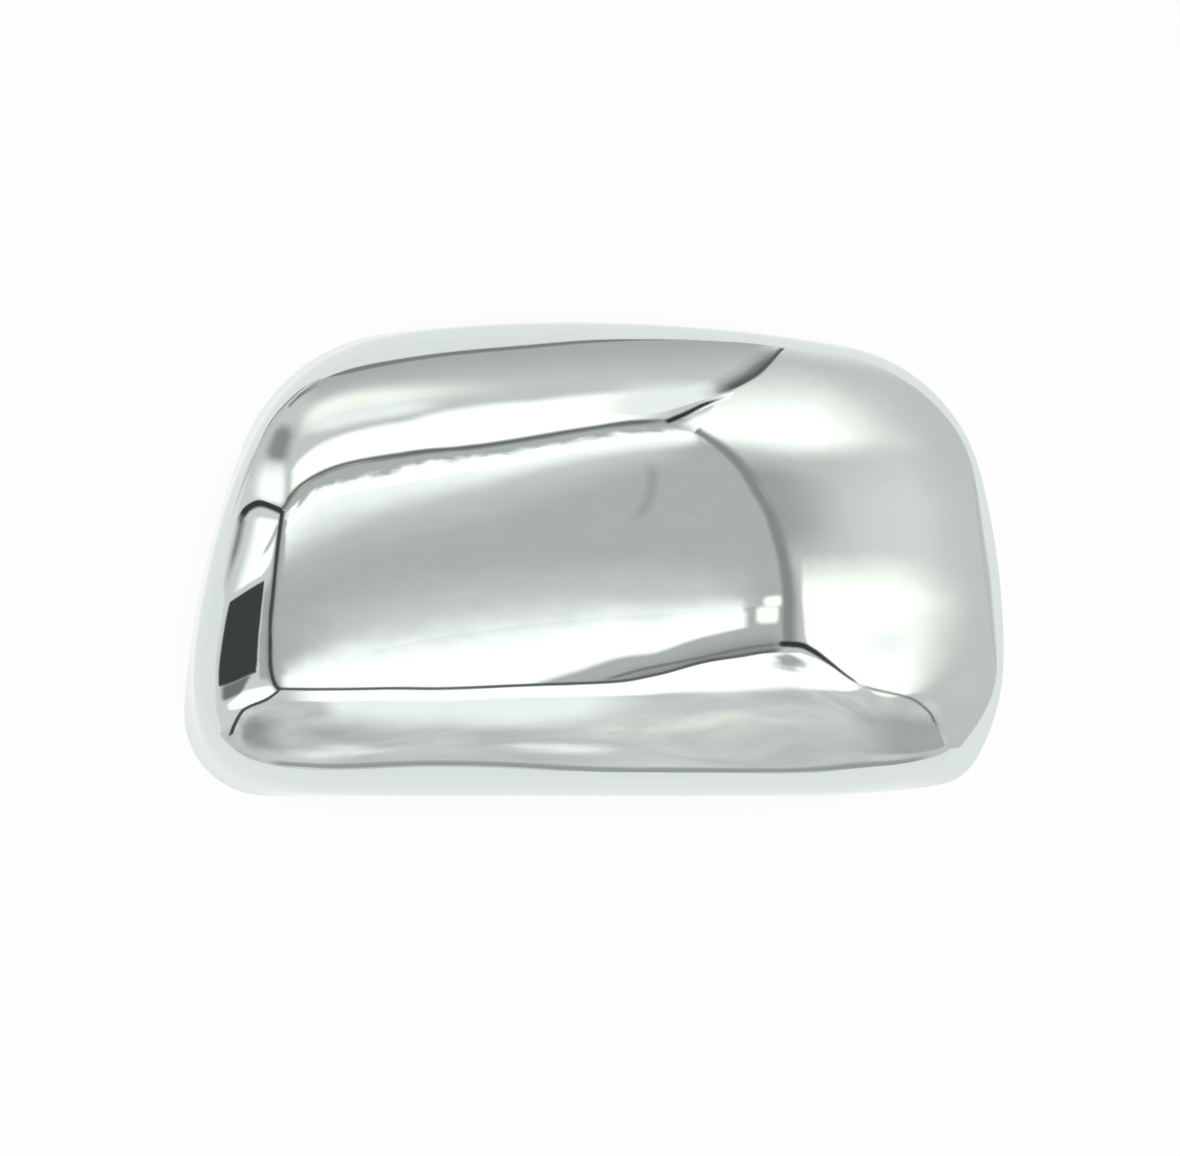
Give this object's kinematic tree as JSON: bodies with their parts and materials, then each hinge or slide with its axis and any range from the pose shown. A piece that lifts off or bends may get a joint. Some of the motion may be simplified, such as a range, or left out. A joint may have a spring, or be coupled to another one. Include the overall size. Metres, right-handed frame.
{
  "type": "wing mirror cover",
  "caption": "Thin domed shell with soft shoulders and a swept outboard end, open at the back, that covers the front of a car's wing mirror housing.",
  "frame": {"origin": "on the plane of the rim, under the middle of the cover's length and height", "axes": "+X towards the outboard end, +Y towards the upper edge as it sits on the car, +Z out of the crown, which faces the front of the car"},
  "size_m": [0.2402, 0.1388, 0.0465],
  "materials": {
    "chrome_plate": "bright chrome plate, mirror polished on the outside and duller in the hollow"
  },
  "bodies": {
    "root": {"mirror_cover": "chrome_plate"}
  },
  "joints": []
}
